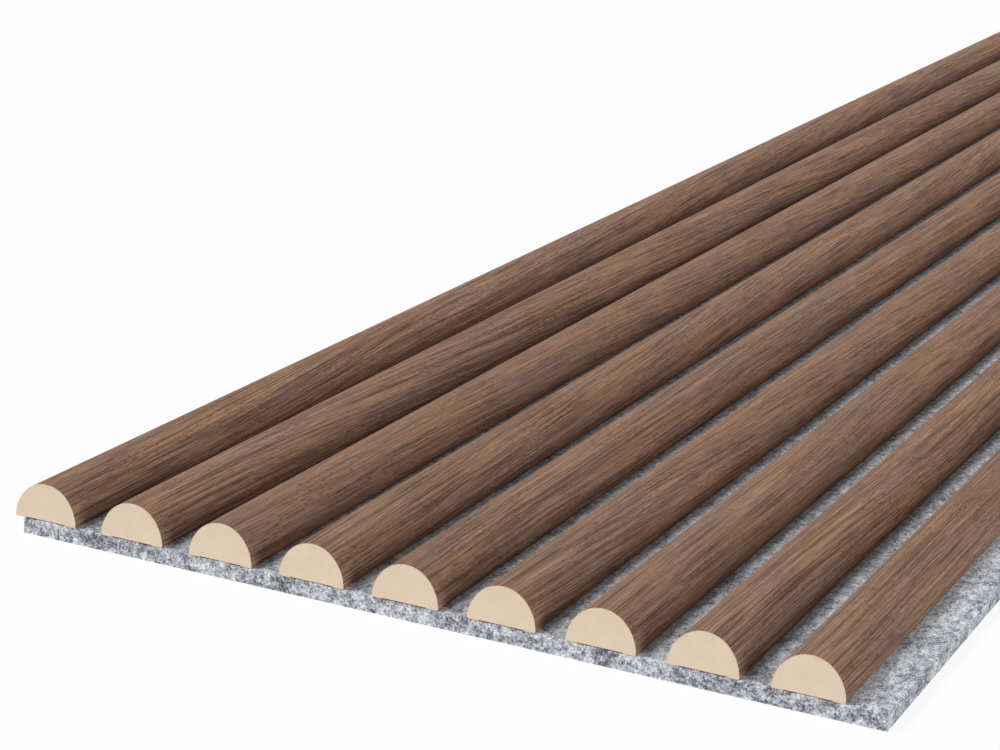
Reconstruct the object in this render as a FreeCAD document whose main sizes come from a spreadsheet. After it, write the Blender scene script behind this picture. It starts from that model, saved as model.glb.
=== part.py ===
import FreeCAD, Part
import math
import os
import Sketcher

# Acoustic slat wall panel: nine half-round slats, each an MDF core wrapped in walnut
# veneer, glued and stapled to one board of polyester felt. All sizes are millimetres.
# The panel lies on the felt's back, slats up: +Z leaves the wall, +Y runs along the
# slats and the origin is the middle of the felt's back face.

# Driving dimensions: alias, value and meaning
SIZES = [
    ("panel_length", 2400, "length of the felt and of every slat"),
    ("felt_width", 300, "width of the felt, one module of the wall"),
    ("felt_thickness", 5.5, "thickness of the felt board"),
    ("slat_count", 9, "slats in one module"),
    ("slat_width", 23.4, "width of a slat at its foot, over the veneer"),
    ("slat_height", 13, "height of a slat above the felt, over the veneer"),
    ("crown_angle", 45, "degrees above the felt at which the crown arc meets the shoulders"),
    ("slat_overhang", 3.3, "how far slat 1 stands out past the felt's left edge"),
    ("veneer_thickness", 0.3, "thickness of the walnut veneer"),
    ("lip_width", 4, "width of veneer turned in under each side of a slat"),
    ("core_edge_radius", 0.2, "round on the core's two long lower edges"),
    ("bead_width", 3, "width of one bead of glue"),
    ("bead_spacing", 11, "distance between the middles of a slat's two beads"),
    ("staple_rows", 8, "rows of staples along the panel"),
    ("staple_end_distance", 60, "from the panel's end to the first row of staples"),
    ("staple_crown", 5.8, "width of a staple over both legs"),
    ("staple_wire_depth", 0.6, "size of the wire in the plane of the staple"),
    ("staple_wire_width", 1.2, "size of the wire along the panel"),
    ("staple_sink", 0.2, "how far the staple is driven below the felt's back face"),
    ("staple_bend", 0.3, "bevel that stands for the bend of the wire"),
    ("staple_point", 0.4, "chisel cut on the inside of each leg's point"),
    ("wood_over_staple", 4.3, "slat left between the points and the top of the crown"),
]

# Dimensions that follow from the driving ones: alias, formula and meaning.
# A slat's outline is a three-centred arch: a crown arc and two shoulder arcs whose
# centres lie on the felt, so that the sides leave it upright.
DERIVED = [
    ("slat_pitch", "=felt_width / slat_count", "distance from slat to slat"),
    ("first_slat", "=slat_width / 2 - slat_overhang", "from the felt's left edge to slat 1's middle"),
    (
        "centre_distance",
        "=(slat_height - slat_width / 2) / (sin(crown_angle) + cos(crown_angle) - 1)",
        "between the centres of the crown arc and of a shoulder arc",
    ),
    ("crown_centre", "=centre_distance * sin(crown_angle)", "height of the crown arc's centre"),
    ("crown_radius", "=slat_height - crown_centre", "radius of the crown arc"),
    ("staple_spacing", "=(panel_length - 2 * staple_end_distance) / (staple_rows - 1)", "row to row"),
    ("leg_in_slat", "=slat_height - wood_over_staple", "how far a leg stands up into the slat"),
    ("staple_leg", "=felt_thickness - staple_sink + leg_in_slat", "staple from its back to its points"),
]

doc = FreeCAD.newDocument("acoustic_slat_wall_panel")
sheet = doc.addObject("Spreadsheet::Sheet", "Sizes")
for row, (alias, content, meaning) in enumerate(SIZES + DERIVED, start=1):
    sheet.set(f"A{row}", meaning)
    sheet.set(f"B{row}", str(content))
    sheet.setAlias(f"B{row}", alias)
doc.recompute()


def value_of(formula):
    """The number that a formula of the sheet's values gives now."""
    return float(sheet.evalExpression(formula))


def new_body(label, x, y, z):
    """A body that becomes the node of this name, placed by three formulas."""
    body = doc.addObject("PartDesign::Body", label)
    body.Label = label
    for direction, formula in zip("xyz", (x, y, z)):
        body.setExpression(f"Placement.Base.{direction}", formula)
    return body


def origin_feature(body, role):
    """The plane or axis of the body's own origin that has this role."""
    return next(feature for feature in body.Origin.OriginFeatures if feature.Role == role)


def new_sketch(body, name, plane):
    """An empty sketch on one of the body's own origin planes."""
    sketch = body.newObject("Sketcher::SketchObject", name)
    sketch.AttachmentSupport = (origin_feature(body, plane), [""])
    sketch.MapMode = "FlatFace"
    return sketch


def hold(sketch, name, kind, items, formula):
    """Add a dimension to a sketch and tie it to a formula."""
    index = sketch.addConstraint(Sketcher.Constraint(kind, *items, value_of(formula)))
    sketch.renameConstraint(index, name)
    sketch.setExpression(f"Constraints.{name}", formula)


def draw_rectangle(sketch, name, left, bottom, width, height):
    """A rectangle whose corner and two sides are formulas."""
    x, y = value_of(left), value_of(bottom)
    right, top = x + value_of(width), y + value_of(height)
    corners = [FreeCAD.Vector(*corner, 0) for corner in ((x, y), (right, y), (right, top), (x, top))]
    sides = [
        sketch.addGeometry(Part.LineSegment(corners[side], corners[(side + 1) % 4]), False)
        for side in range(4)
    ]
    for side in range(4):
        following = sides[(side + 1) % 4]
        sketch.addConstraint(Sketcher.Constraint("Coincident", sides[side], 2, following, 1))
        sketch.addConstraint(Sketcher.Constraint("Vertical" if side % 2 else "Horizontal", sides[side]))
    hold(sketch, f"{name}_left", "DistanceX", (-1, 1, sides[0], 1), left)
    hold(sketch, f"{name}_bottom", "DistanceY", (-1, 1, sides[0], 1), bottom)
    hold(sketch, f"{name}_width", "DistanceX", (sides[0], 1, sides[0], 2), width)
    hold(sketch, f"{name}_height", "DistanceY", (sides[1], 1, sides[1], 2), height)


def draw_slat_outline(sketch, inset, edge_radius):
    """The arch of a slat, this far inside the veneer's outer face, on a flat foot."""
    depth, edge = value_of(inset), value_of(edge_radius)
    centre_height = value_of("Sizes.crown_centre")
    crown_radius = value_of("Sizes.crown_radius") - depth
    shoulder_radius = crown_radius + value_of("Sizes.centre_distance")
    meeting = math.radians(value_of("Sizes.crown_angle"))
    shoulder_x = value_of("Sizes.centre_distance") * math.cos(meeting)
    edge_x = math.sqrt((shoulder_radius - edge) ** 2 - (depth + edge) ** 2) - shoulder_x
    edge_angle = math.atan2(depth + edge, edge_x + shoulder_x)

    def arc(x, y, radius, start, end):
        circle = Part.Circle(FreeCAD.Vector(x, y, 0), FreeCAD.Vector(0, 0, 1), radius)
        return sketch.addGeometry(Part.ArcOfCircle(circle, start, end), False)

    foot_ends = (FreeCAD.Vector(-edge_x, depth, 0), FreeCAD.Vector(edge_x, depth, 0))
    foot = sketch.addGeometry(Part.LineSegment(*foot_ends), False)
    right_edge = arc(edge_x, depth + edge, edge, -math.pi / 2, edge_angle)
    right_shoulder = arc(-shoulder_x, 0, shoulder_radius, edge_angle, meeting)
    crown = arc(0, centre_height, crown_radius, meeting, math.pi - meeting)
    left_shoulder = arc(shoulder_x, 0, shoulder_radius, math.pi - meeting, math.pi - edge_angle)
    left_edge = arc(-edge_x, depth + edge, edge, math.pi - edge_angle, 3 * math.pi / 2)

    outline = [foot, right_edge, right_shoulder, crown, left_shoulder, left_edge]
    for piece, following in zip(outline, outline[1:] + outline[:1]):
        sketch.addConstraint(Sketcher.Constraint("Tangent", piece, 2, following, 1))
    sketch.addConstraint(Sketcher.Constraint("Horizontal", foot))
    sketch.addConstraint(Sketcher.Constraint("PointOnObject", crown, 3, -2))
    sketch.addConstraint(Sketcher.Constraint("PointOnObject", right_shoulder, 3, -1))
    sketch.addConstraint(Sketcher.Constraint("PointOnObject", left_shoulder, 3, -1))
    sketch.addConstraint(Sketcher.Constraint("Equal", right_edge, left_edge))
    meeting_x = f"(Sizes.crown_radius - {inset}) * cos(Sizes.crown_angle)"
    hold(sketch, "foot_height", "DistanceY", (-1, 1, foot, 1), inset)
    hold(sketch, "edge_radius", "Radius", (right_edge,), edge_radius)
    hold(sketch, "crown_height", "DistanceY", (-1, 1, crown, 3), "Sizes.crown_centre")
    hold(sketch, "crown_radius", "Radius", (crown,), f"Sizes.crown_radius - {inset}")
    hold(sketch, "crown_right_end", "DistanceX", (-1, 1, crown, 1), meeting_x)
    hold(sketch, "crown_left_end", "DistanceX", (-1, 1, crown, 2), f"-{meeting_x}")


def draw_leg_holes(sketch, middle_x, middle_y):
    """Two rectangles, the section of a staple's legs about this middle."""
    bottom = f"{middle_y} - Sizes.staple_wire_width / 2"
    for name, left in (
        ("left_leg", f"{middle_x} - Sizes.staple_crown / 2"),
        ("right_leg", f"{middle_x} + Sizes.staple_crown / 2 - Sizes.staple_wire_depth"),
    ):
        draw_rectangle(sketch, name, left, bottom, "Sizes.staple_wire_depth", "Sizes.staple_wire_width")


def add_pad(body, sketch, name, formula, side="One side"):
    """Raise a sketch by this length, towards +Z or +Y, or half to each side."""
    pad = body.newObject("PartDesign::Pad", name)
    pad.Profile = sketch
    pad.SideType = side
    pad.Reversed = sketch.AttachmentSupport[0][0].Role == "XZ_Plane"
    pad.setExpression("Length", formula)
    return pad


def add_pocket(body, sketch, name, formula=None, side="One side"):
    """Cut a sketch towards +Z or +Y, to this depth or all the way through."""
    pocket = body.newObject("PartDesign::Pocket", name)
    pocket.Profile = sketch
    pocket.SideType = side
    pocket.Reversed = sketch.AttachmentSupport[0][0].Role == "XY_Plane"
    if formula is None:
        pocket.Type = "ThroughAll"
    else:
        pocket.setExpression("Length", formula)
    return pocket


def add_bevel(body, base, name, formula, middles):
    """Bevel the edges of the base whose middles lie at these points."""
    doc.recompute()
    names = [
        f"Edge{number}"
        for number, edge in enumerate(base.Shape.Edges, start=1)
        if any(edge.CenterOfMass.isEqual(middle, 1e-4) for middle in middles)
    ]
    bevel = body.newObject("PartDesign::Chamfer", name)
    bevel.Base = (base, names)
    bevel.setExpression("Size", formula)
    return bevel


def add_pattern(body, name, originals, directions):
    """Repeat features, or the whole body where none are given, along one or two axes."""
    doc.recompute()
    pattern = body.newObject("PartDesign::LinearPattern", name)
    if originals:
        pattern.Originals = originals
    else:
        pattern.TransformMode = "Whole shape"
    for suffix, (axis, spacing, count) in zip(("", "2"), directions):
        setattr(pattern, f"Direction{suffix}", (origin_feature(body, axis), [""]))
        pattern.setExpression(f"Length{suffix}", f"{spacing} * ({count} - 1)")
        pattern.setExpression(f"Occurrences{suffix}", count)
    body.Tip = pattern
    return pattern


ALONG_ROWS = ("Y_Axis", "Sizes.staple_spacing", "Sizes.staple_rows")
ACROSS_SLATS = ("X_Axis", "Sizes.slat_pitch", "Sizes.slat_count")
LEFT = "-Sizes.felt_width / 2"
FRONT = "-Sizes.panel_length / 2"
FELT_TOP = "Sizes.felt_thickness"


def make_felt():
    """The felt board, pierced from its back by every staple."""
    felt = new_body("felt_backing", LEFT, FRONT, "0")
    board = new_sketch(felt, "board_outline", "XY_Plane")
    draw_rectangle(board, "board", "0", "0", "Sizes.felt_width", "Sizes.panel_length")
    add_pad(felt, board, "board", FELT_TOP)
    crown = new_sketch(felt, "crown_outline", "XY_Plane")
    draw_rectangle(
        crown,
        "crown",
        "Sizes.first_slat - Sizes.staple_crown / 2",
        "Sizes.staple_end_distance - Sizes.staple_wire_width / 2",
        "Sizes.staple_crown",
        "Sizes.staple_wire_width",
    )
    crown_groove = add_pocket(felt, crown, "crown_groove", "Sizes.staple_sink + Sizes.staple_wire_depth")
    legs = new_sketch(felt, "leg_outline", "XY_Plane")
    draw_leg_holes(legs, "Sizes.first_slat", "Sizes.staple_end_distance")
    leg_holes = add_pocket(felt, legs, "leg_holes")
    add_pattern(felt, "staple_holes", [crown_groove, leg_holes], [ACROSS_SLATS, ALONG_ROWS])
    return felt


def slat_place(number):
    """Where slat number 1, 2, 3... stands: its middle line's front end on the felt."""
    across = f"{LEFT} + Sizes.first_slat + {number - 1} * Sizes.slat_pitch"
    return across, FRONT, FELT_TOP


def make_slat_core(number):
    """The MDF core of a slat, with blind holes where the staples went in."""
    core = new_body(f"slat_core_{number}", *slat_place(number))
    section = new_sketch(core, f"core_section_{number}", "XZ_Plane")
    draw_slat_outline(section, "Sizes.veneer_thickness", "Sizes.core_edge_radius")
    add_pad(core, section, f"core_length_{number}", "Sizes.panel_length")
    legs = new_sketch(core, f"core_leg_outline_{number}", "XY_Plane")
    draw_leg_holes(legs, "0", "Sizes.staple_end_distance")
    leg_holes = add_pocket(core, legs, f"core_leg_holes_{number}", "Sizes.leg_in_slat")
    add_pattern(core, f"core_staple_holes_{number}", [leg_holes], [ALONG_ROWS])
    return core


def make_slat_veneer(number):
    """The veneer round a core, with a lip turned in under each of its sides."""
    veneer = new_body(f"slat_veneer_{number}", *slat_place(number))
    outside = new_sketch(veneer, f"veneer_outside_{number}", "XZ_Plane")
    draw_slat_outline(outside, "0", "(Sizes.core_edge_radius + Sizes.veneer_thickness)")
    add_pad(veneer, outside, f"veneer_length_{number}", "Sizes.panel_length")
    inside = new_sketch(veneer, f"veneer_inside_{number}", "XZ_Plane")
    draw_slat_outline(inside, "Sizes.veneer_thickness", "Sizes.core_edge_radius")
    add_pocket(veneer, inside, f"room_for_core_{number}")
    opening = new_sketch(veneer, f"lip_opening_{number}", "XZ_Plane")
    draw_rectangle(
        opening,
        "opening",
        "Sizes.lip_width - Sizes.slat_width / 2",
        "0",
        "Sizes.slat_width - 2 * Sizes.lip_width",
        "Sizes.veneer_thickness",
    )
    add_pocket(veneer, opening, f"between_lips_{number}")
    return veneer


def make_glue_beads():
    """Two flat beads of glue under each slat, between its lips and its staples."""
    glue = new_body("glue_beads", f"{LEFT} + Sizes.first_slat", FRONT, FELT_TOP)
    beads = new_sketch(glue, "bead_section", "XZ_Plane")
    for name, middle in (("left_bead", "-Sizes.bead_spacing / 2"), ("right_bead", "Sizes.bead_spacing / 2")):
        left = f"{middle} - Sizes.bead_width / 2"
        draw_rectangle(beads, name, left, "0", "Sizes.bead_width", "Sizes.veneer_thickness")
    add_pad(glue, beads, "bead_length", "Sizes.panel_length")
    add_pattern(glue, "beads_under_slats", None, [ACROSS_SLATS])
    return glue


def make_staples():
    """The staples, driven through the felt from behind into every slat."""
    staples = new_body(
        "staples",
        f"{LEFT} + Sizes.first_slat",
        f"{FRONT} + Sizes.staple_end_distance",
        "Sizes.staple_sink",
    )
    outside = new_sketch(staples, "staple_outside", "XZ_Plane")
    draw_rectangle(outside, "blank", "-Sizes.staple_crown / 2", "0", "Sizes.staple_crown", "Sizes.staple_leg")
    add_pad(staples, outside, "staple_blank", "Sizes.staple_wire_width", "Symmetric")
    inside = new_sketch(staples, "staple_inside", "XZ_Plane")
    draw_rectangle(
        inside,
        "gap",
        "Sizes.staple_wire_depth - Sizes.staple_crown / 2",
        "Sizes.staple_wire_depth",
        "Sizes.staple_crown - 2 * Sizes.staple_wire_depth",
        "Sizes.staple_leg",
    )
    between_legs = add_pocket(staples, inside, "between_legs", None, "Symmetric")
    outer_x = value_of("Sizes.staple_crown / 2")
    inner_x = value_of("Sizes.staple_crown / 2 - Sizes.staple_wire_depth")
    point_z = value_of("Sizes.staple_leg")
    bends = [FreeCAD.Vector(x, 0, 0) for x in (-outer_x, outer_x)]
    points = [FreeCAD.Vector(x, 0, point_z) for x in (-inner_x, inner_x)]
    bent = add_bevel(staples, between_legs, "bends", "Sizes.staple_bend", bends)
    add_bevel(staples, bent, "points", "Sizes.staple_point", points)
    add_pattern(staples, "rows_of_staples", None, [ACROSS_SLATS, ALONG_ROWS])
    return staples


slat_numbers = range(1, int(value_of("Sizes.slat_count")) + 1)
bodies = [make_felt()]
bodies += [make_slat_core(number) for number in slat_numbers]
bodies += [make_slat_veneer(number) for number in slat_numbers]
bodies += [make_glue_beads(), make_staples()]
doc.recompute()

for item in doc.Objects:
    if "Invalid" in item.State or "Error" in item.State:
        raise RuntimeError(f"{item.Label} failed: {item.getStatusString()}")
    if item.isDerivedFrom("Sketcher::SketchObject") and item.solve() != 0:
        raise RuntimeError(f"{item.Label} doesn't solve")
    if item.isDerivedFrom("PartDesign::Pocket"):
        if item.Shape.Volume >= item.BaseFeature.Shape.Volume:
            raise RuntimeError(f"{item.Label} cuts nothing")

os.makedirs("parts", exist_ok=True)
for body in bodies:
    if body.Shape.isNull() or not body.Shape.isValid():
        raise RuntimeError(f"{body.Label} has no valid shape")
    body.Shape.exportStep(f"parts/{body.Label}.step")
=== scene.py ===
import math

import bmesh
import bpy
from mathutils import Matrix, Vector


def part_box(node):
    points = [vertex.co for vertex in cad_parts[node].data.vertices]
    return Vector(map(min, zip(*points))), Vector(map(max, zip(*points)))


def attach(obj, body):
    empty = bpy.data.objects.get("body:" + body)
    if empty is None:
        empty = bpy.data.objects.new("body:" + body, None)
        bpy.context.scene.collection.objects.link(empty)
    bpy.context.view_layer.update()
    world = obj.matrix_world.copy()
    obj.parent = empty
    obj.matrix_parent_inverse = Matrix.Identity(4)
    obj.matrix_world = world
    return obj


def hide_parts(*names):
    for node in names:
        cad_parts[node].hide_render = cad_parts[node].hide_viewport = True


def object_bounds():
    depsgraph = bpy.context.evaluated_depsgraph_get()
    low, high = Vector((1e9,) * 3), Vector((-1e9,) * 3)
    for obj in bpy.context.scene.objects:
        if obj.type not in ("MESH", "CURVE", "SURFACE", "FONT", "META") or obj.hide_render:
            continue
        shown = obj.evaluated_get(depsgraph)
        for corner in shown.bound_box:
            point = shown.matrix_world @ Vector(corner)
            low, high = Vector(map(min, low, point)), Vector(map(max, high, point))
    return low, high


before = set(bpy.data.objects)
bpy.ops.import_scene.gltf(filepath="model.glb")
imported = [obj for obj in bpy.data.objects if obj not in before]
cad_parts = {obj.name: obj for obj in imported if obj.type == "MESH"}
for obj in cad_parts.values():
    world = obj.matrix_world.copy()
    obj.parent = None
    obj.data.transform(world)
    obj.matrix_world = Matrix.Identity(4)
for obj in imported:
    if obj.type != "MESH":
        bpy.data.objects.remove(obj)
cad_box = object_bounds()
scene = bpy.context.scene
scene.view_settings.view_transform = "Standard"


# Felt backing
# One board of pressed polyester felt, a little soft along its upper outer edges. White,
# grey and blue-black fibres are matted together in small tufts, laid mostly along it. Its
# sawn ends and long sides carry painted shade that makes them a little darker than its top.
FELT_STOPS = (0.38, 0.455, 0.53, 0.61)
FELT_SHADES = ((84, 88, 98), (155, 158, 167), (208, 211, 219), (246, 248, 252))
FELT_BUMP = 0.0008
EDGE_ROUNDING = 0.0004
SHARP_ANGLE = math.radians(35)
FLAT_ANGLE = 0.001
WELD_DISTANCE = 1e-6
FIBRE_STRETCH = 1.6
# Painted shade: how much darker the felt's sawn ends and long sides are made than its top.
PAINTED_END_SHADE = -0.024
PAINTED_SIDE_SHADE = -0.012
CLOUD_SIZE = 0.013
TUFT_SIZE = 0.0024
FIBRE_SIZE = 0.0007


def colour(red, green, blue):
    """A colour written as sRGB numbers from 0 to 255, as the renderer's own values."""
    shares = (value / 255 for value in (red, green, blue))
    return (*(((share + 0.055) / 1.055) ** 2.4 for share in shares), 1.0)


def add_node(tree, kind, inputs, **settings):
    """Add a node to a tree; an input's value is plain or another node's output."""
    node = tree.nodes.new(kind)
    for name, value in settings.items():
        setattr(node, name, value)
    for name, value in inputs.items():
        if isinstance(value, bpy.types.NodeSocket):
            tree.links.new(value, node.inputs[name])
        else:
            node.inputs[name].default_value = value
    return node


def calculate(tree, operation, *values):
    """The result of one sum on numbers or outputs."""
    return add_node(tree, "ShaderNodeMath", dict(enumerate(values)), operation=operation).outputs[0]


def weighted_sum(tree, layers):
    """Layers of noise added up by their weights."""
    (layer, weight), *others = layers
    total = calculate(tree, "MULTIPLY", layer, weight)
    for layer, weight in others:
        total = calculate(tree, "MULTIPLY_ADD", layer, weight, total)
    return total


def combine(tree, x, y, z):
    """A vector of three numbers or outputs."""
    return add_node(tree, "ShaderNodeCombineXYZ", {"X": x, "Y": y, "Z": z}).outputs[0]


def noise(tree, vector, size, detail, distortion=0.0, roughness=0.5):
    """Cloudy noise round one half, with blotches about this size."""
    inputs = {
        "Vector": vector,
        "Scale": 1 / size,
        "Detail": detail,
        "Roughness": roughness,
        "Distortion": distortion,
    }
    return add_node(tree, "ShaderNodeTexNoise", inputs).outputs["Fac"]


def spread(tree, value, low, high, new_low=0.0, new_high=1.0):
    """Stretch the values from low to high smoothly over new_low to new_high."""
    inputs = {
        "Value": value,
        "From Min": low,
        "From Max": high,
        "To Min": new_low,
        "To Max": new_high,
    }
    node = add_node(tree, "ShaderNodeMapRange", inputs, interpolation_type="SMOOTHSTEP")
    return node.outputs["Result"]


def ramp(tree, value, stops):
    """The colours of (place, colour) stops, blended along a value from 0 to 1."""
    node = add_node(tree, "ShaderNodeValToRGB", {"Fac": value})
    elements = node.color_ramp.elements
    for element, (place, shade) in zip(elements, (stops[0], stops[-1])):
        element.position = place
        element.color = colour(*shade)
    for place, shade in stops[1:-1]:
        elements.new(place).color = colour(*shade)
    return node.outputs["Color"]


def blend(tree, factor, first, second):
    """Two colours mixed by a factor. The node's colours are its inputs 6 and 7 and output 2."""
    inputs = {0: factor, 6: first, 7: second}
    return add_node(tree, "ShaderNodeMix", inputs, data_type="RGBA").outputs[2]


def new_finish(name):
    """An empty material, its tree and its shader."""
    finish = bpy.data.materials.new(name)
    finish.use_nodes = True
    return finish, finish.node_tree, finish.node_tree.nodes["Principled BSDF"]


def object_place(tree):
    """The point of the surface in the panel's own frame."""
    return add_node(tree, "ShaderNodeTexCoord", {}).outputs["Object"]


def raise_surface(tree, shader, height, distance):
    """Give a shader a bump that stands this distance high where the height is 1."""
    inputs = {"Height": height, "Distance": distance}
    tree.links.new(add_node(tree, "ShaderNodeBump", inputs).outputs[0], shader.inputs["Normal"])


def felt_finish():
    """Matted fibres: clouds, tufts and single fibres in white, grey and blue-black, with painted
    shade on the board's ends and long sides.
    """
    felt, tree, shader = new_finish("grey_felt")
    stretch = {0: object_place(tree), 1: (1.0, 1 / FIBRE_STRETCH, 1.0)}
    place = add_node(tree, "ShaderNodeVectorMath", stretch, operation="MULTIPLY").outputs[0]
    clouds = noise(tree, place, CLOUD_SIZE, 1.0)
    tufts = noise(tree, place, TUFT_SIZE, 3.0, 0.2, 0.7)
    fibres = noise(tree, place, FIBRE_SIZE, 2.0, 0.3, 0.65)
    tone = weighted_sum(tree, ((tufts, 0.44), (fibres, 0.44), (clouds, 0.12)))
    normal = add_node(tree, "ShaderNodeTexCoord", {}).outputs["Normal"]
    parts = add_node(tree, "ShaderNodeSeparateXYZ", {0: normal})
    # Painted shade: faces turned towards the ends or the long sides are darkened by their direction
    # alone.
    for axis, painted_shade in (("X", PAINTED_SIDE_SHADE), ("Y", PAINTED_END_SHADE)):
        facing = calculate(tree, "ABSOLUTE", parts.outputs[axis])
        tone = calculate(tree, "ADD", tone, spread(tree, facing, 0.2, 0.8, 0.0, painted_shade))
    shade = ramp(tree, tone, list(zip(FELT_STOPS, FELT_SHADES)))
    tree.links.new(shade, shader.inputs["Base Color"])
    tree.links.new(spread(tree, fibres, 0.3, 0.7, 0.85, 1.0), shader.inputs["Roughness"])
    shader.inputs["Specular IOR Level"].default_value = 0.2
    shader.inputs["Sheen Weight"].default_value = 0.15
    raise_surface(tree, shader, tone, FELT_BUMP)
    return felt


def soft_edged_board(name, board, rounding):
    """A copy of the board, staple holes and all, with the four outer edges of its top rounded."""
    shape = bmesh.new()
    shape.from_mesh(board.data)
    bmesh.ops.remove_doubles(shape, verts=shape.verts, dist=WELD_DISTANCE)
    bmesh.ops.dissolve_limit(shape, angle_limit=FLAT_ANGLE, verts=shape.verts, edges=shape.edges)
    across, along, up = zip(*(vertex.co for vertex in shape.verts))
    top_corners = []
    for x in (min(across), max(across)):
        for y in (min(along), max(along)):
            top_corners.append(Vector((x, y, max(up))))
    found = set()
    for vertex in shape.verts:
        if min((vertex.co - corner).length for corner in top_corners) < WELD_DISTANCE:
            found.add(vertex)
    outer = []
    for edge in shape.edges:
        if found.issuperset(edge.verts) and edge.calc_face_angle(0.0) > SHARP_ANGLE:
            outer.append(edge)
    bmesh.ops.bevel(shape, geom=outer, offset=rounding, segments=3, profile=0.5, affect="EDGES")
    bmesh.ops.triangulate(shape, faces=shape.faces)
    mesh = bpy.data.meshes.new(name)
    shape.to_mesh(mesh)
    shape.free()
    piece = bpy.data.objects.new(name, mesh)
    scene.collection.objects.link(piece)
    return piece


felt_board = soft_edged_board("felt_board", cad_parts["felt_backing"], EDGE_ROUNDING)
felt_board.data.materials.append(felt_finish())
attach(felt_board, "root")
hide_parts("felt_backing")


# MDF cores
# Nine half-round mouldings of medium-density fibreboard, cream at their sawn ends. Each is
# a three-centred arch on a flat foot, and the veneer is wrapped round it.
SLAT_COUNT = 9
VENEER_THICKNESS = 0.0003
SLAT_HEIGHT = 0.013
CROWN_ANGLE = math.radians(45)
CORNER_RADIUS = 0.0005
ANGLE_STEP = math.radians(3)
CORNER_STEPS = 4
MDF_CLOUD_SIZE = 0.006
MDF_DUST_SIZE = 0.0006
MDF_BUMP = 0.00006
MDF_CREAM = (227, 205, 179)
MDF_PALE = (232, 212, 188)

veneer_low, veneer_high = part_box("slat_veneer_1")
slat_half_width = (veneer_high.x - veneer_low.x) / 2
slat_length = veneer_high.y - veneer_low.y
slat_foot = veneer_low.z
slat_middles = []
for number in range(1, SLAT_COUNT + 1):
    left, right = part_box(f"slat_veneer_{number}")
    slat_middles.append((left.x + right.x) / 2)

# The arch: a crown arc and two shoulder arcs. The shoulders' centres lie level with the foot.
centre_distance = (SLAT_HEIGHT - slat_half_width) / (
    math.sin(CROWN_ANGLE) + math.cos(CROWN_ANGLE) - 1
)
crown_centre = centre_distance * math.sin(CROWN_ANGLE)
crown_radius = SLAT_HEIGHT - crown_centre
shoulder_centre = -centre_distance * math.cos(CROWN_ANGLE)
shoulder_radius = crown_radius + centre_distance
corner_reach = math.sqrt((shoulder_radius - CORNER_RADIUS) ** 2 - CORNER_RADIUS**2)
corner_angle = math.atan2(CORNER_RADIUS, corner_reach)
corner_centre = corner_reach + shoulder_centre


def arch_point(angle, depth):
    """Where the outline, this deep in the slat, faces this angle above the felt."""
    turned = min(angle, math.pi - angle)
    if turned < corner_angle:
        x, z, radius = corner_centre, CORNER_RADIUS, CORNER_RADIUS
    elif turned < CROWN_ANGLE:
        x, z, radius = shoulder_centre, 0.0, shoulder_radius
    else:
        x, z, radius = 0.0, crown_centre, crown_radius
    x += (radius - depth) * math.cos(turned)
    z += (radius - depth) * math.sin(turned)
    return (x if angle <= math.pi / 2 else -x), z


def arch_angles():
    """Angles from the right lower corner over the crown to the left one."""
    turn = math.pi / 2 + corner_angle
    corner = [step / CORNER_STEPS * turn - math.pi / 2 for step in range(CORNER_STEPS)]
    side = math.pi / 2 - corner_angle
    steps = round(side / ANGLE_STEP)
    half = corner + [corner_angle + step / steps * side for step in range(steps)]
    return half + [math.pi / 2] + [math.pi - angle for angle in reversed(half)]


def section_mesh(name, points, faces):
    """A flat section in the plane across the slats, facing along them."""
    mesh = bpy.data.meshes.new(name)
    mesh.from_pydata([(x, 0.0, z) for x, z in points], [], faces)
    return mesh


def new_maker(name, sizes):
    """An empty Geometry Nodes tree with these named inputs, and the inputs' sockets."""
    tree = bpy.data.node_groups.new(name, "GeometryNodeTree")
    tree.interface.new_socket("Geometry", in_out="OUTPUT", socket_type="NodeSocketGeometry")
    for size, kind in sizes.items():
        tree.interface.new_socket(size, in_out="INPUT", socket_type=f"NodeSocket{kind}")
    return tree, tree.nodes.new("NodeGroupInput").outputs


def close_maker(tree, geometry):
    """Send the finished geometry out of the tree."""
    tree.links.new(geometry, tree.nodes.new("NodeGroupOutput").inputs[0])


def run_maker(tree, name, start, values):
    """The piece that a tree makes from a bare mesh and these values, as a plain mesh.

    Its first material slot is the bare mesh's own, which is empty, and is taken out.
    """
    piece = bpy.data.objects.new(name, start)
    scene.collection.objects.link(piece)
    modifier = piece.modifiers.new(tree.name, "NODES")
    modifier.node_group = tree
    for socket in tree.interface.items_tree:
        if socket.in_out == "INPUT" and socket.name in values:
            modifier[socket.identifier] = values[socket.name]
    evaluated = piece.evaluated_get(bpy.context.evaluated_depsgraph_get())
    mesh = bpy.data.meshes.new_from_object(evaluated)
    piece.modifiers.clear()
    mesh.materials.pop(index=0)
    piece.data = mesh
    mesh.name = name
    mesh.shade_smooth()
    mesh.set_sharp_from_angle(angle=SHARP_ANGLE)
    return piece


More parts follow.
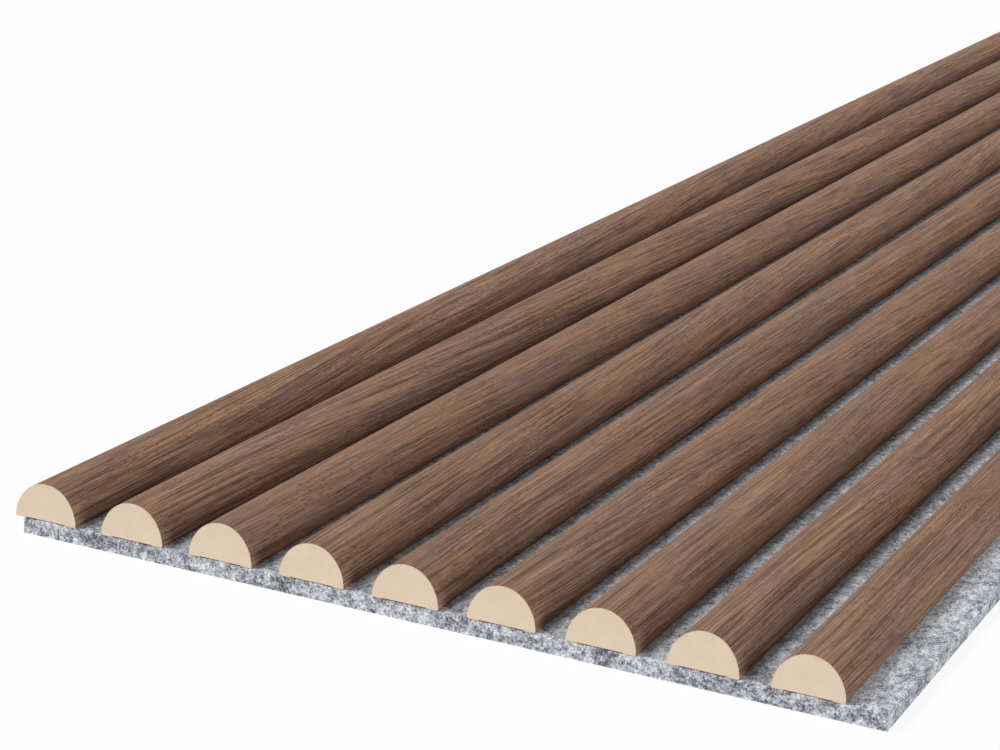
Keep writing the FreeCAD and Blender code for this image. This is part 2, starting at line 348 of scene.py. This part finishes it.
def slat_maker():
    """Draws a section out along the panel, closes both ends and numbers the slat."""
    tree, given = new_maker(
        "slat_maker",
        {
            "Section": "Geometry",
            "Length": "Float",
            "Place": "Vector",
            "Slat number": "Float",
            "Side finish": "Material",
            "End finish": "Material",
        },
    )
    along = combine(tree, 0.0, given["Length"], 0.0)
    drawn = add_node(
        tree,
        "GeometryNodeExtrudeMesh",
        {"Mesh": given["Section"], "Offset": along, "Individual": False},
        mode="FACES",
    )
    front = add_node(tree, "GeometryNodeFlipFaces", {"Mesh": given["Section"]})
    joined = add_node(tree, "GeometryNodeJoinGeometry", {})
    tree.links.new(drawn.outputs["Mesh"], joined.inputs[0])
    tree.links.new(front.outputs[0], joined.inputs[0])
    closed = add_node(
        tree,
        "GeometryNodeMergeByDistance",
        {"Geometry": joined.outputs[0], "Distance": WELD_DISTANCE},
    )
    placed = add_node(
        tree,
        "GeometryNodeTransform",
        {"Geometry": closed.outputs[0], "Translation": given["Place"]},
    )
    numbered = add_node(
        tree,
        "GeometryNodeStoreNamedAttribute",
        {"Geometry": placed.outputs[0], "Name": "slat_number", "Value": given["Slat number"]},
        data_type="FLOAT",
        domain="POINT",
    )
    sides = add_node(
        tree,
        "GeometryNodeSetMaterial",
        {"Geometry": numbered.outputs[0], "Material": given["Side finish"]},
    )
    normal = add_node(tree, "GeometryNodeInputNormal", {}).outputs[0]
    facing = add_node(tree, "ShaderNodeSeparateXYZ", {0: normal}).outputs["Y"]
    at_end = calculate(tree, "GREATER_THAN", calculate(tree, "ABSOLUTE", facing), 0.5)
    ends = add_node(
        tree,
        "GeometryNodeSetMaterial",
        {"Geometry": sides.outputs[0], "Selection": at_end, "Material": given["End finish"]},
    )
    close_maker(tree, ends.outputs[0])
    return tree


def slat_piece(name, number, section, side_finish, end_finish):
    """The piece with this section that belongs to one slat, in its place."""
    values = {
        "Length": slat_length,
        "Place": (slat_middles[number - 1], veneer_low.y, slat_foot),
        "Slat number": float(number),
        "Side finish": side_finish,
        "End finish": end_finish,
    }
    return run_maker(draw_slat, f"{name}_{number}", section, values)


def mdf_finish():
    """Fine pressed fibre: almost even cream with faint clouds and a dusting of fibres."""
    mdf, tree, shader = new_finish("cream_mdf")
    place = object_place(tree)
    clouds = noise(tree, place, MDF_CLOUD_SIZE, 2.0)
    dust = noise(tree, place, MDF_DUST_SIZE, 3.0, 0.0, 0.6)
    tone = weighted_sum(tree, ((clouds, 0.6), (dust, 0.4)))
    shade = ramp(tree, tone, [(0.35, MDF_CREAM), (0.65, MDF_PALE)])
    tree.links.new(shade, shader.inputs["Base Color"])
    tree.links.new(spread(tree, dust, 0.3, 0.7, 0.66, 0.8), shader.inputs["Roughness"])
    shader.inputs["Specular IOR Level"].default_value = 0.3
    raise_surface(tree, shader, dust, MDF_BUMP)
    return mdf


draw_slat = slat_maker()
cream_mdf = mdf_finish()
core_outline = [arch_point(angle, VENEER_THICKNESS) for angle in arch_angles()]
core_face = list(reversed(range(len(core_outline))))
core_section = section_mesh("core_section", core_outline, [core_face])
for number in range(1, SLAT_COUNT + 1):
    core = slat_piece("mdf_core", number, core_section, cream_mdf, cream_mdf)
    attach(core, "root")
    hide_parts(f"slat_core_{number}")


# Walnut veneers
# A leaf of walnut 0.3 mm thick, lacquered matt, is wrapped round each core and turned in
# under both its sides. Its grain runs along the slat, and no two slats share a leaf.
LIP_WIDTH = 0.004
LEAF_STEP = 17.3
SWAY_WIDTH = 0.012
SWAY_LENGTH = 0.35
STEEPEST_SKEW = 0.03
WAVER_WIDTH = 0.0010
CURL_WIDTH = 0.0006
GRAIN_BUMP = 0.00008
GRAIN_STOPS = (0.39, 0.465, 0.535, 0.62)
GOLDEN_SHADES = ((112, 86, 68), (137, 106, 86), (159, 124, 99), (185, 146, 117))
ROSY_SHADES = ((105, 79, 69), (127, 101, 87), (149, 120, 104), (174, 142, 123))
GRAIN_PALE = (178, 142, 119)
PORE_BROWN = (64, 43, 34)
EDGE_DUST_SIZE = 0.0005
EDGE_BUMP = 0.00005
CUT_EDGE_DARK = (217, 194, 168)
CUT_EDGE = (227, 204, 178)


def wrap_section():
    """The veneer's section, with how far each of its points lies round the slat."""
    angles = arch_angles()
    lip_end = slat_half_width - LIP_WIDTH
    outside = [arch_point(angle, 0.0) for angle in angles]
    inside = [arch_point(angle, VENEER_THICKNESS) for angle in angles]
    outside = [(lip_end, 0.0), *outside, (-lip_end, 0.0)]
    inside = [(lip_end, VENEER_THICKNESS), *inside, (-lip_end, VENEER_THICKNESS)]
    count = len(outside)
    faces = []
    for place in range(count - 1):
        faces.append((place + 1, place, count + place, count + place + 1))
    mesh = section_mesh("veneer_section", outside + inside, faces)
    distances = [0.0]
    for start, end in zip(outside, outside[1:]):
        distances.append(distances[-1] + math.dist(start, end))
    around = mesh.attributes.new("around", "FLOAT", "POINT")
    around.data.foreach_set("value", distances * 2)
    return mesh


def walnut_finish():
    """Walnut grain: broad bands, streaks and short pores that follow the slat."""
    walnut, tree, shader = new_finish("lacquered_walnut")
    around = add_node(tree, "ShaderNodeAttribute", {}, attribute_name="around").outputs["Fac"]
    slat = add_node(tree, "ShaderNodeAttribute", {}, attribute_name="slat_number").outputs["Fac"]
    along = add_node(tree, "ShaderNodeSeparateXYZ", {0: object_place(tree)}).outputs["Y"]
    leaf = calculate(tree, "MULTIPLY", slat, LEAF_STEP)

    def grain(width, length, detail, roughness=0.5):
        """Noise in streaks of this width and length, in metres, along the lines so far."""
        across = calculate(tree, "DIVIDE", line, width)
        down = calculate(tree, "DIVIDE", along, length)
        return noise(tree, combine(tree, across, down, leaf), 1.0, detail, 0.0, roughness)

    # The grain's lines: they sway, lean a little, waver and here and there curl.
    down = calculate(tree, "DIVIDE", along, SWAY_LENGTH)
    sway = noise(tree, combine(tree, leaf, down, 0.0), 1.0, 1.0)
    skew_of_leaf = add_node(tree, "ShaderNodeTexWhiteNoise", {"W": slat}, noise_dimensions="1D")
    skew = spread(tree, skew_of_leaf.outputs["Value"], 0.0, 1.0, -STEEPEST_SKEW, STEEPEST_SKEW)
    line = calculate(tree, "MULTIPLY_ADD", sway, SWAY_WIDTH, around)
    line = calculate(tree, "MULTIPLY_ADD", along, skew, line)
    line = calculate(tree, "MULTIPLY_ADD", grain(0.008, 0.11, 1.0), WAVER_WIDTH, line)
    curl = spread(tree, grain(0.012, 0.07, 1.0), 0.62, 0.72, 0.0, CURL_WIDTH)
    line = calculate(tree, "MULTIPLY_ADD", grain(0.0020, 0.0070, 0.0), curl, line)

    # The layers of the figure, which all follow those lines.
    bands = grain(0.006, 0.30, 1.0)
    streaks = grain(0.0016, 0.14, 2.0, 0.6)
    fibres = grain(0.0006, 0.055, 1.0)
    threads = grain(0.0003, 0.012, 1.0)
    dark_lines = spread(tree, grain(0.0004, 0.055, 0.0), 0.57, 0.66)
    pores = spread(tree, grain(0.0003, 0.0036, 0.0), 0.60, 0.70)
    porous = spread(tree, grain(0.010, 0.045, 1.0), 0.42, 0.60, 0.30, 1.0)
    pores = calculate(tree, "MULTIPLY", pores, porous)
    lights = spread(tree, grain(0.0005, 0.050, 0.0), 0.58, 0.70)
    warmth = spread(tree, grain(0.007, 0.090, 1.0), 0.36, 0.64)

    layers = ((bands, 0.12), (streaks, 0.21), (fibres, 0.33), (threads, 0.34))
    tone = weighted_sum(tree, layers)
    golden = ramp(tree, tone, list(zip(GRAIN_STOPS, GOLDEN_SHADES)))
    rosy = ramp(tree, tone, list(zip(GRAIN_STOPS, ROSY_SHADES)))
    shade = blend(tree, warmth, rosy, golden)
    shade = blend(tree, calculate(tree, "MULTIPLY", lights, 0.42), shade, colour(*GRAIN_PALE))
    shade = blend(tree, calculate(tree, "MULTIPLY", dark_lines, 0.60), shade, colour(*PORE_BROWN))
    shade = blend(tree, calculate(tree, "MULTIPLY", pores, 0.55), shade, colour(*PORE_BROWN))
    tree.links.new(shade, shader.inputs["Base Color"])
    tree.links.new(spread(tree, tone, 0.35, 0.65, 0.62, 0.72), shader.inputs["Roughness"])
    shader.inputs["Specular IOR Level"].default_value = 0.07
    height = calculate(tree, "MULTIPLY_ADD", pores, -0.6, tone)
    raise_surface(tree, shader, height, GRAIN_BUMP)
    return walnut


def cut_edge_finish():
    """The sawn end of the leaf, pale like the board beside it."""
    edge, tree, shader = new_finish("veneer_cut_edge")
    dust = noise(tree, object_place(tree), EDGE_DUST_SIZE, 3.0)
    shade = ramp(tree, dust, [(0.3, CUT_EDGE_DARK), (0.7, CUT_EDGE)])
    tree.links.new(shade, shader.inputs["Base Color"])
    shader.inputs["Roughness"].default_value = 0.7
    raise_surface(tree, shader, dust, EDGE_BUMP)
    return edge


veneer_section = wrap_section()
walnut = walnut_finish()
cut_edge = cut_edge_finish()
for number in range(1, SLAT_COUNT + 1):
    veneer = slat_piece("walnut_veneer", number, veneer_section, walnut, cut_edge)
    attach(veneer, "root")
    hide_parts(f"slat_veneer_{number}")


# Glue
# Two beads of brown hot-melt run under each slat, pressed flat between it and the felt.
GLUE_CLOUD_SIZE = 0.004
GLUE_BUMP = 0.0001
GLUE_AMBER = (118, 88, 64)
GLUE_BROWN = (86, 62, 46)


def glue_finish():
    """Set hot-melt: waxy, brown and a little uneven."""
    glue, tree, shader = new_finish("hot_melt_glue")
    clouds = noise(tree, object_place(tree), GLUE_CLOUD_SIZE, 2.0)
    shade = ramp(tree, clouds, [(0.3, GLUE_BROWN), (0.7, GLUE_AMBER)])
    tree.links.new(shade, shader.inputs["Base Color"])
    tree.links.new(spread(tree, clouds, 0.3, 0.7, 0.32, 0.45), shader.inputs["Roughness"])
    raise_surface(tree, shader, clouds, GLUE_BUMP)
    return glue


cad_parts["glue_beads"].data.materials[0] = glue_finish()


# Staples
# Flat-crown staples of galvanised steel wire, driven through the felt from behind, eight to
# a slat. Only their crowns show, in the felt's back.
STAPLE_ROWS = 8
STAPLE_CROWN = 0.0058
WIRE_DEPTH = 0.0006
WIRE_WIDTH = 0.0012
BEND_RADIUS = 0.0005
ZINC_CLOUD_SIZE = 0.0012
SCRATCH_SIZE = 0.0002
SCRATCH_BUMP = 0.00002
WIRE_DARK = (136, 138, 142)
WIRE_GREY = (176, 178, 182)


def staple_line(crown, leg):
    """The middle line of the wire: up one leg, along the crown and up the other."""
    half_crown = (crown - WIRE_DEPTH) / 2
    corners = [(-half_crown, leg), (-half_crown, WIRE_DEPTH / 2)]
    corners += [(-x, z) for x, z in reversed(corners)]
    mesh = bpy.data.meshes.new("staple_line")
    mesh.from_pydata([(x, 0.0, z) for x, z in corners], [(0, 1), (1, 2), (2, 3)], [])
    return mesh


def staple_maker():
    """Bends flat wire along a staple's line and repeats it over the slats and the rows."""
    tree, given = new_maker(
        "staple_maker",
        {
            "Line": "Geometry",
            "Wire depth": "Float",
            "Wire width": "Float",
            "Bend radius": "Float",
            "Slats": "Int",
            "Rows": "Int",
            "Width over slats": "Float",
            "Length over rows": "Float",
            "Middle": "Vector",
            "Finish": "Material",
        },
    )
    line = add_node(tree, "GeometryNodeMeshToCurve", {"Mesh": given["Line"]})
    bent = add_node(
        tree,
        "GeometryNodeFilletCurve",
        {"Curve": line.outputs[0], "Radius": given["Bend radius"], "Count": 4},
        mode="POLY",
    )
    profile = add_node(
        tree,
        "GeometryNodeCurvePrimitiveQuadrilateral",
        {"Width": given["Wire depth"], "Height": given["Wire width"]},
        mode="RECTANGLE",
    )
    wire = add_node(
        tree,
        "GeometryNodeCurveToMesh",
        {"Curve": bent.outputs[0], "Profile Curve": profile.outputs[0], "Fill Caps": True},
    )
    spots = add_node(
        tree,
        "GeometryNodeMeshGrid",
        {
            "Size X": given["Width over slats"],
            "Size Y": given["Length over rows"],
            "Vertices X": given["Slats"],
            "Vertices Y": given["Rows"],
        },
    )
    copies = add_node(
        tree,
        "GeometryNodeInstanceOnPoints",
        {"Points": spots.outputs["Mesh"], "Instance": wire.outputs[0]},
    )
    moved = add_node(
        tree,
        "GeometryNodeTransform",
        {"Geometry": copies.outputs[0], "Translation": given["Middle"]},
    )
    real = add_node(tree, "GeometryNodeRealizeInstances", {"Geometry": moved.outputs[0]})
    finished = add_node(
        tree,
        "GeometryNodeSetMaterial",
        {"Geometry": real.outputs[0], "Material": given["Finish"]},
    )
    close_maker(tree, finished.outputs[0])
    return tree


def wire_finish():
    """Drawn wire with a zinc coat: fine scratches and cloudy grey."""
    wire, tree, shader = new_finish("galvanised_wire")
    clouds = noise(tree, object_place(tree), ZINC_CLOUD_SIZE, 3.0)
    scratches = noise(tree, object_place(tree), SCRATCH_SIZE, 1.0)
    shade = ramp(tree, clouds, [(0.3, WIRE_DARK), (0.7, WIRE_GREY)])
    tree.links.new(shade, shader.inputs["Base Color"])
    tree.links.new(spread(tree, scratches, 0.3, 0.7, 0.28, 0.45), shader.inputs["Roughness"])
    shader.inputs["Metallic"].default_value = 1.0
    raise_surface(tree, shader, scratches, SCRATCH_BUMP)
    return wire


staple_low, staple_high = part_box("staples")
staple_middle = (staple_low + staple_high) / 2
staples = run_maker(
    staple_maker(),
    "wire_staples",
    staple_line(STAPLE_CROWN, staple_high.z - staple_low.z),
    {
        "Wire depth": WIRE_DEPTH,
        "Wire width": WIRE_WIDTH,
        "Bend radius": BEND_RADIUS,
        "Slats": SLAT_COUNT,
        "Rows": STAPLE_ROWS,
        "Width over slats": slat_middles[-1] - slat_middles[0],
        "Length over rows": staple_high.y - staple_low.y - WIRE_WIDTH,
        "Middle": (staple_middle.x, staple_middle.y, staple_low.z),
        "Finish": wire_finish(),
    },
)
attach(staples, "root")
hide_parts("staples")


# Floor and light
# A plain white floor under the panel, even light from all round, one broad soft lamp high
# on the left and one low on the right, both a little in front of the sawn ends. A third,
# from below, reaches only what lies on the floor, so that the back can be seen too.
FLOOR_SIZE = 30.0
FLOOR_GAP = 0.0001
BACK_REACH = 0.0004
FLOOR_WHITE = (250, 250, 250)
SHADOW_SHARE = 0.10
SKY_LEVEL = 0.14
LEFT_LAMP = {"level": 2.40, "from": (-0.60, -0.30, 0.74), "softness": 26}
RIGHT_LAMP = {"level": 1.65, "from": (0.88, -0.30, 0.36), "softness": 24}
BACK_LAMP = {"level": 2.2, "from": (0.30, -0.20, -0.90), "softness": 20}


def seen_ray(tree):
    """1 for rays from the camera or off gloss or glass, which see the white background."""
    path = add_node(tree, "ShaderNodeLightPath", {})
    seen = calculate(tree, "MAXIMUM", path.outputs["Is Camera Ray"], path.outputs["Is Glossy Ray"])
    return calculate(tree, "MAXIMUM", seen, path.outputs["Is Transmission Ray"])


def floor_finish():
    """White to the eye with a little shadow kept, and clear from below and from the back.

    A ray that meets the floor after less than BACK_REACH comes from the panel's back.
    """
    finish, tree, shader = new_finish("white_floor")
    shader.inputs["Base Color"].default_value = colour(*FLOOR_WHITE)
    shader.inputs["Roughness"].default_value = 0.9
    white = add_node(tree, "ShaderNodeEmission", {"Strength": 1.0})
    share = calculate(tree, "MULTIPLY", seen_ray(tree), 1.0 - SHADOW_SHARE)
    lit = add_node(tree, "ShaderNodeMixShader", {0: share, 1: shader.outputs[0], 2: white.outputs[0]})
    clear = add_node(tree, "ShaderNodeBsdfTransparent", {})
    below = add_node(tree, "ShaderNodeNewGeometry", {}).outputs["Backfacing"]
    reach = add_node(tree, "ShaderNodeLightPath", {}).outputs["Ray Length"]
    from_back = calculate(tree, "LESS_THAN", reach, BACK_REACH)
    unseen = calculate(tree, "MAXIMUM", below, from_back)
    both = add_node(tree, "ShaderNodeMixShader", {0: unseen, 1: lit.outputs[0], 2: clear.outputs[0]})
    tree.links.new(both.outputs[0], tree.nodes["Material Output"].inputs["Surface"])
    return finish


def add_lamp(name, lamp):
    """A far lamp as wide as its softness in degrees."""
    light = bpy.data.lights.new(name, "SUN")
    light.energy = lamp["level"]
    light.angle = math.radians(lamp["softness"])
    holder = bpy.data.objects.new(name, light)
    holder.rotation_mode = "QUATERNION"
    holder.rotation_quaternion = Vector(lamp["from"]).to_track_quat("Z", "Y")
    scene.collection.objects.link(holder)


half_floor = FLOOR_SIZE / 2
floor_level = cad_box[0].z - FLOOR_GAP
floor_corners = []
for x, y in ((-1, -1), (1, -1), (1, 1), (-1, 1)):
    floor_corners.append((x * half_floor, y * half_floor, floor_level))
floor_mesh = bpy.data.meshes.new("floor")
floor_mesh.from_pydata(floor_corners, [], [(0, 1, 2, 3)])
floor_mesh.materials.append(floor_finish())
floor = bpy.data.objects.new("floor", floor_mesh)
scene.collection.objects.link(floor)

world = bpy.data.worlds.new("studio")
world.use_nodes = True
scene.world = world
sky_tree = world.node_tree
background = sky_tree.nodes["Background"]
background.inputs["Color"].default_value = (1.0, 1.0, 1.0, 1.0)
sky_level = spread(sky_tree, seen_ray(sky_tree), 0.0, 1.0, SKY_LEVEL, 1.0)
sky_tree.links.new(sky_level, background.inputs["Strength"])
add_lamp("left_lamp", LEFT_LAMP)
add_lamp("right_lamp", RIGHT_LAMP)
add_lamp("back_lamp", BACK_LAMP)


# Camera
# It stands low before the right front corner and looks left along the slats, a little
# tilted, with a long lens.
CAMERA_PLACE = (0.33899, -1.93489, 0.31926)
CAMERA_HEADING = math.radians(23.519)
CAMERA_PITCH = math.radians(-16.267)
CAMERA_ROLL = math.radians(3.833)
LENS = 99.551
SENSOR_WIDTH = 36.0

camera_data = bpy.data.cameras.new("camera")
camera_data.lens = LENS
camera_data.sensor_width = SENSOR_WIDTH
camera_data.clip_start = 0.05
camera_data.clip_end = 100.0
camera = bpy.data.objects.new("camera", camera_data)
camera.matrix_world = (
    Matrix.Translation(CAMERA_PLACE)
    @ Matrix.Rotation(CAMERA_HEADING, 4, "Z")
    @ Matrix.Rotation(math.pi / 2 + CAMERA_PITCH, 4, "X")
    @ Matrix.Rotation(CAMERA_ROLL, 4, "Z")
)
scene.collection.objects.link(camera)
scene.camera = camera


bpy.context.view_layer.update()
